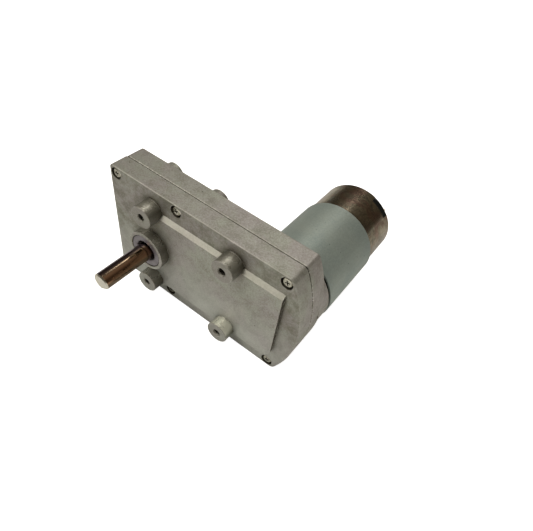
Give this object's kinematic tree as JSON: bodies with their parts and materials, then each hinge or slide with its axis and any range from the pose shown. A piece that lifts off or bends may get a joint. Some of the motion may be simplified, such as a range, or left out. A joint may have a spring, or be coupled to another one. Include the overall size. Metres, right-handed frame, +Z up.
{
  "type": "geared dc motor",
  "caption": "Brushed DC motor on the back of a flat die-cast spur gearbox, with an offset D-cut output shaft, a bearing collar and tapped mounting bosses.",
  "frame": {"origin": "on the output shaft's axis, in the plane of the four tapped mounting bosses' faces", "axes": "+Y from the output side back to the motor, +X along the gearbox from the output shaft towards the motor's end, +Z up across the gearbox; the output shaft's tip points to -Y"},
  "size_m": [0.1021, 0.1153, 0.06],
  "materials": {
    "cast_zinc": "sandy as-cast matte",
    "screw_steel": "zinc plated",
    "sintered_iron": "oil-soaked sintered, fine grain",
    "sintered_bronze": "oil-soaked sintered",
    "spring_steel": "rolled strip",
    "ground_steel": "ground and polished",
    "nickel_steel": "bright nickel plate, drawn",
    "zinc_plate": "matte zinc plate",
    "ferrite": "pressed ceramic",
    "carbon": "pressed graphite",
    "terminal_brass": "stamped or turned",
    "black_plastic": "moulded",
    "gear_steel": "hobbed, oiled",
    "core_steel": "stacked laminations",
    "insulation": "moulded resin",
    "copper_wire": "enamelled wire",
    "commutator_copper": "turned"
  },
  "bodies": {
    "gearmotor_body": {"front_cover": "cast_zinc", "rear_housing": "cast_zinc", "cover_screws": "screw_steel", "front_bearing_bush": "sintered_iron", "rear_bearing_bush": "sintered_iron", "front_thrust_washer": "spring_steel", "rear_thrust_washer": "spring_steel", "second_gear_pin": "ground_steel", "first_gear_pin": "ground_steel", "first_gear_spacer": "ground_steel", "second_gear_washers": "spring_steel", "motor_can": "nickel_steel", "flux_ring": "zinc_plate", "motor_screws": "screw_steel", "motor_front_bush": "sintered_bronze", "magnets": "ferrite", "magnet_clips": "spring_steel", "carbon_brushes": "carbon", "brush_arms": "terminal_brass", "terminals": "terminal_brass", "end_cap": "black_plastic", "motor_rear_bush": "sintered_bronze"},
    "output": {"output_shaft": "ground_steel", "output_gear": "gear_steel"},
    "second_cluster": {"second_pinion": "gear_steel", "second_wheel": "gear_steel"},
    "first_cluster": {"first_pinion": "gear_steel", "first_wheel": "gear_steel"},
    "rotor": {"rotor_shaft": "ground_steel", "motor_pinion": "terminal_brass", "rotor_core": "core_steel", "core_insulators": "insulation", "windings": "copper_wire", "rotor_spacer": "terminal_brass", "commutator_base": "insulation", "commutator_bars": "commutator_copper"}
  },
  "joints": [
    {"name": "output_spin", "type": "hinge", "parent": "gearmotor_body", "child": "output", "pos_m": [0, 0, 0], "axis": [0, 1, 0], "continuous": true},
    {"name": "second_cluster_spin", "type": "hinge", "parent": "gearmotor_body", "child": "second_cluster", "pos_m": [0.02364, 0, -0.00417], "axis": [0, 1, 0], "continuous": true},
    {"name": "first_cluster_spin", "type": "hinge", "parent": "gearmotor_body", "child": "first_cluster", "pos_m": [0.04099, 0, 0.00253], "axis": [0, 1, 0], "continuous": true},
    {"name": "rotor_spin", "type": "hinge", "parent": "gearmotor_body", "child": "rotor", "pos_m": [0.0578, 0, 0], "axis": [0, 1, 0], "continuous": true}
  ],
  "couplings": [
    {"joint": "second_cluster_spin", "follows": "output_spin", "ratio": -4},
    {"joint": "first_cluster_spin", "follows": "output_spin", "ratio": 16.667},
    {"joint": "rotor_spin", "follows": "output_spin", "ratio": -77.778}
  ]
}
